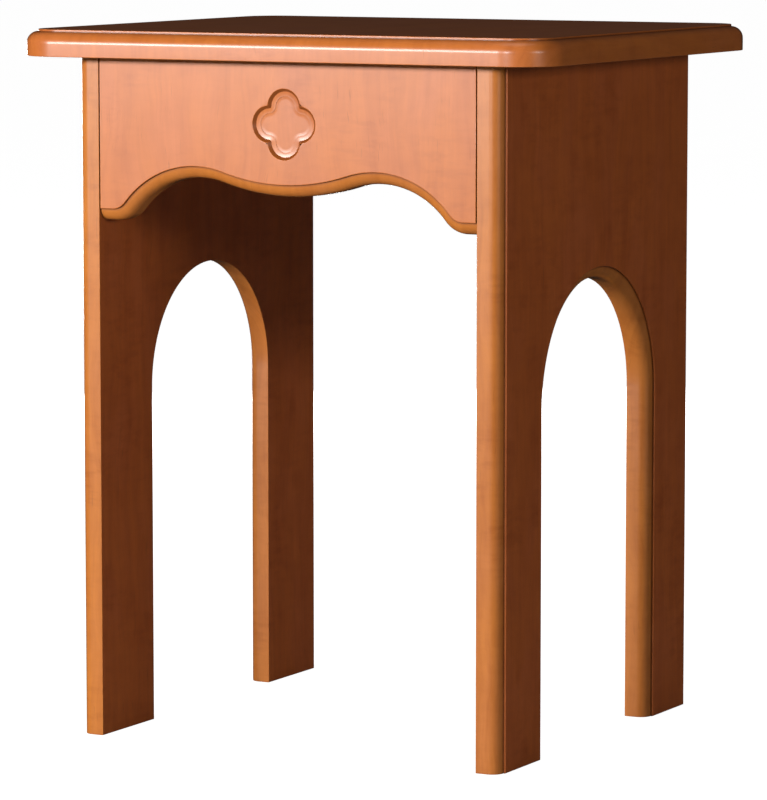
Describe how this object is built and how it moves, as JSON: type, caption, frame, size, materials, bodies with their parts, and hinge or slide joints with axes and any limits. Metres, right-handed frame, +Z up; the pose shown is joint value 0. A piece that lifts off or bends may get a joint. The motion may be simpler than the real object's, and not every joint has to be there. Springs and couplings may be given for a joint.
{
  "type": "kneeling bench",
  "caption": "Small upright wooden bench with a moulded top, arched side panels and scalloped aprons carved with a quatrefoil.",
  "frame": {"origin": "on the floor under the centre of the top", "axes": "+Z up, +X to the right, -Y to the front"},
  "size_m": [0.398, 0.344, 0.48],
  "materials": {
    "woodgrain_foil": "satin alder woodgrain foil over moulded board",
    "zinc": "zinc-plated hardware",
    "beech": "bare beech dowel"
  },
  "bodies": {
    "root": {"top_panel": "woodgrain_foil", "left_side_panel": "woodgrain_foil", "right_side_panel": "woodgrain_foil", "front_apron": "woodgrain_foil", "rear_apron": "woodgrain_foil", "left_top_cam_front": "zinc", "left_top_bolt_front": "zinc", "left_top_dowel_front": "beech", "left_top_cam_rear": "zinc", "left_top_bolt_rear": "zinc", "left_top_dowel_rear": "beech", "right_top_cam_front": "zinc", "right_top_bolt_front": "zinc", "right_top_dowel_front": "beech", "right_top_cam_rear": "zinc", "right_top_bolt_rear": "zinc", "right_top_dowel_rear": "beech", "front_apron_cam_left": "zinc", "front_apron_bolt_left": "zinc", "front_apron_upper_dowel_left": "beech", "front_apron_lower_dowel_left": "beech", "front_apron_cam_right": "zinc", "front_apron_bolt_right": "zinc", "front_apron_upper_dowel_right": "beech", "front_apron_lower_dowel_right": "beech", "rear_apron_cam_left": "zinc", "rear_apron_bolt_left": "zinc", "rear_apron_upper_dowel_left": "beech", "rear_apron_lower_dowel_left": "beech", "rear_apron_cam_right": "zinc", "rear_apron_bolt_right": "zinc", "rear_apron_upper_dowel_right": "beech", "rear_apron_lower_dowel_right": "beech"}
  },
  "joints": []
}
